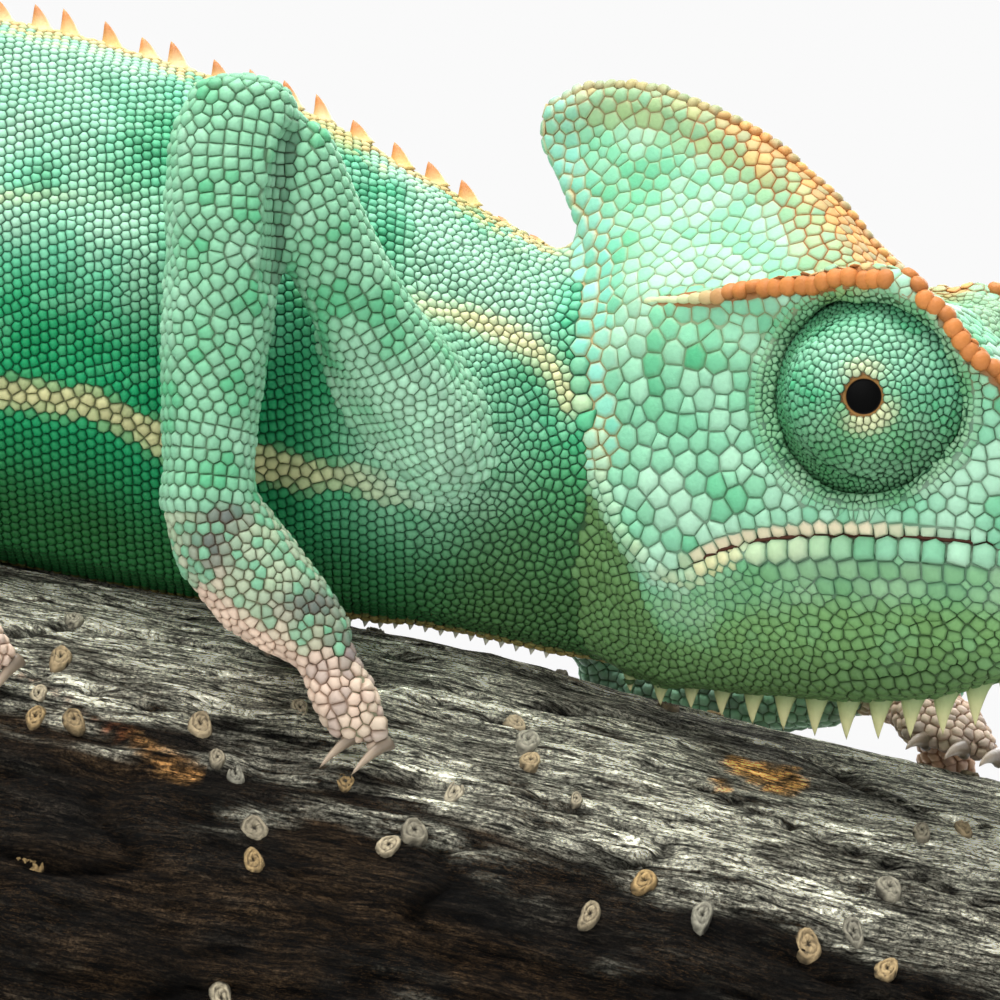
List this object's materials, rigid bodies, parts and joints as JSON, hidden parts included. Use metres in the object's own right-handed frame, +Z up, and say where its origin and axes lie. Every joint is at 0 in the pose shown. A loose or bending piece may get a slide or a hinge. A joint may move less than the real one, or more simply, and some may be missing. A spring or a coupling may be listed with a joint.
{
  "type": "veiled chameleon model",
  "caption": "Still life-size veiled chameleon gripping a cut length of branch with its tail coiled, carried by a flat stand on two rods.",
  "frame": {"origin": "centre of the stand base's underside, on the floor", "axes": "+X forward, towards the animal's snout; +Y the animal's left; +Z up"},
  "size_m": [0.1999, 0.088, 0.1285],
  "materials": {
    "head": "plate-like raised scales, satin, mint green with orange ridges",
    "turret": "rings of round granules, satin",
    "pupil": "gloss black with a gold-brown rim",
    "flesh": "fine raised scales, satin, green with a cream side stripe",
    "limb": "raised lozenge scales, satin, mint green",
    "foot": "raised scales, satin, pinkish beige",
    "claw": "horn, satin, grey brown",
    "bark": "rough grey bark with tan knots, sawn ends",
    "stand": "satin dark wood",
    "rod": "brushed"
  },
  "bodies": {
    "root": {"casque": "head", "head_upper": "head", "lower_jaw": "head", "eye_turret_right": "turret", "eye_right": "pupil", "eye_turret_left": "turret", "eye_left": "pupil", "neck": "flesh", "trunk_front": "flesh", "trunk_rear": "flesh", "tail_1": "flesh", "tail_2": "flesh", "tail_3": "flesh", "tail_4": "flesh", "tail_5": "flesh", "upper_arm_right": "limb", "forearm_right": "limb", "hand_right": "foot", "toes_outer_fore_right": "foot", "claw_outer_1_fore_right": "claw", "claw_outer_2_fore_right": "claw", "toes_inner_fore_right": "foot", "claw_inner_1_fore_right": "claw", "claw_inner_2_fore_right": "claw", "claw_inner_3_fore_right": "claw", "upper_arm_left": "limb", "forearm_left": "limb", "hand_left": "foot", "toes_outer_fore_left": "foot", "claw_outer_1_fore_left": "claw", "claw_outer_2_fore_left": "claw", "toes_inner_fore_left": "foot", "claw_inner_1_fore_left": "claw", "claw_inner_2_fore_left": "claw", "claw_inner_3_fore_left": "claw", "thigh_right": "limb", "shin_right": "limb", "foot_right": "foot", "toes_outer_hind_right": "foot", "claw_outer_1_hind_right": "claw", "claw_outer_2_hind_right": "claw", "claw_outer_3_hind_right": "claw", "toes_inner_hind_right": "foot", "claw_inner_1_hind_right": "claw", "claw_inner_2_hind_right": "claw", "thigh_left": "limb", "shin_left": "limb", "foot_left": "foot", "toes_outer_hind_left": "foot", "claw_outer_1_hind_left": "claw", "claw_outer_2_hind_left": "claw", "claw_outer_3_hind_left": "claw", "toes_inner_hind_left": "foot", "claw_inner_1_hind_left": "claw", "claw_inner_2_hind_left": "claw", "perch": "bark", "stand_base": "stand", "stand_rod_front": "rod", "stand_rod_rear": "rod"}
  },
  "joints": []
}
